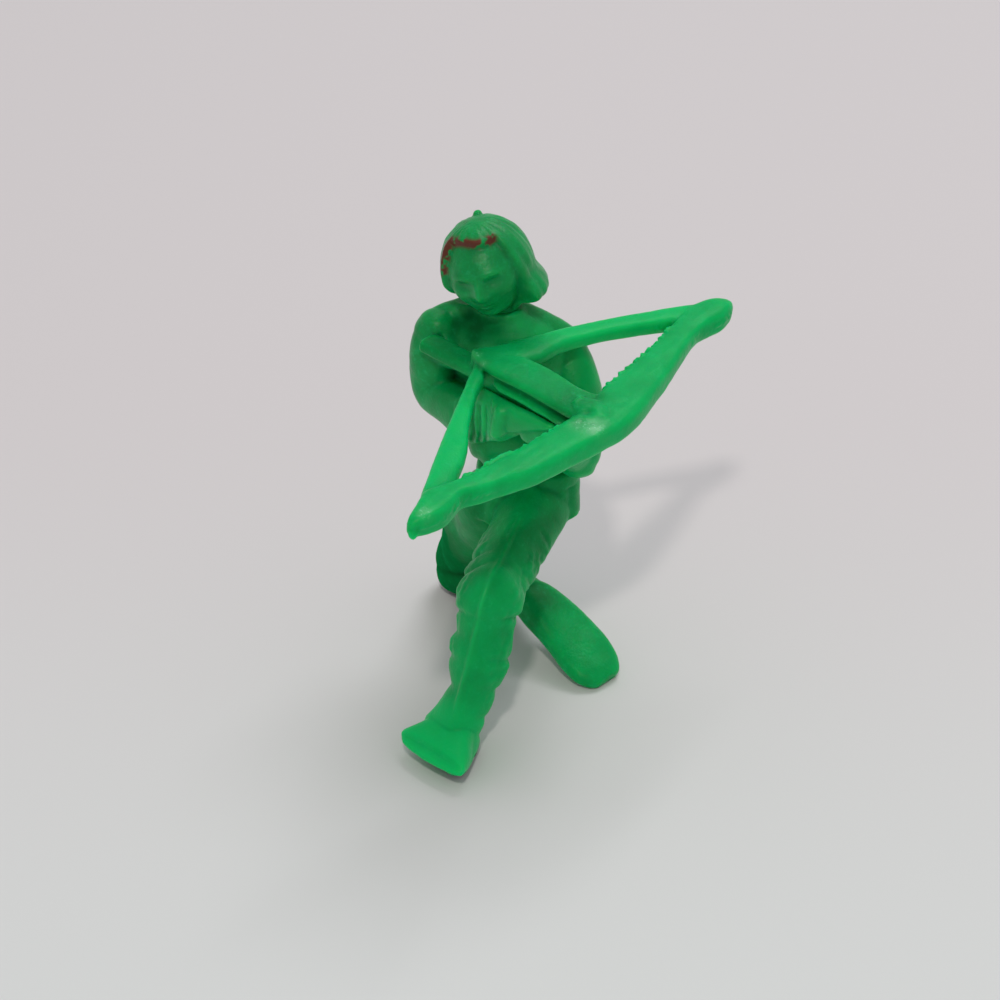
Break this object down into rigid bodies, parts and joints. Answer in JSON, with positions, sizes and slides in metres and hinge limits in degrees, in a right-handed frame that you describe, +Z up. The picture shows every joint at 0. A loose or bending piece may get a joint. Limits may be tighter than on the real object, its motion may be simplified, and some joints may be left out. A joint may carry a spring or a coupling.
{
  "type": "toy warrior figure",
  "caption": "Kneeling toy crossbow warrior in soft green plastic, plug-together, with turning head and waist and a crossbow that slides out of the hands.",
  "frame": {"origin": "on the floor, below the middle of the figure's outline box", "axes": "+Z up, the chest faces -Y, the figure's left hand is towards +X"},
  "size_m": [0.0284, 0.0392, 0.0427],
  "materials": {
    "green_plastic": "satin, slightly translucent moulded polyethylene"
  },
  "bodies": {
    "lower": {"hips": "green_plastic", "left_leg": "green_plastic", "right_leg": "green_plastic"},
    "upper": {"torso": "green_plastic", "right_arm": "green_plastic", "left_arm": "green_plastic"},
    "head_body": {"head": "green_plastic"},
    "weapon": {"crossbow": "green_plastic"}
  },
  "joints": [
    {"name": "waist_turn", "type": "hinge", "parent": "lower", "child": "upper", "pos_m": [-0.00332, 0.00907, 0.019], "axis": [0, 0, 1], "range_deg": [-25, 25]},
    {"name": "neck_turn", "type": "hinge", "parent": "upper", "child": "head_body", "pos_m": [-0.00592, 0.00897, 0.0344], "axis": [0, 0, 1], "range_deg": [-35, 35]},
    {"name": "crossbow_pull", "type": "slide", "parent": "upper", "child": "weapon", "axis": [0.7681, -0.6321, -0.1028], "range_m": [0, 0.014]}
  ]
}
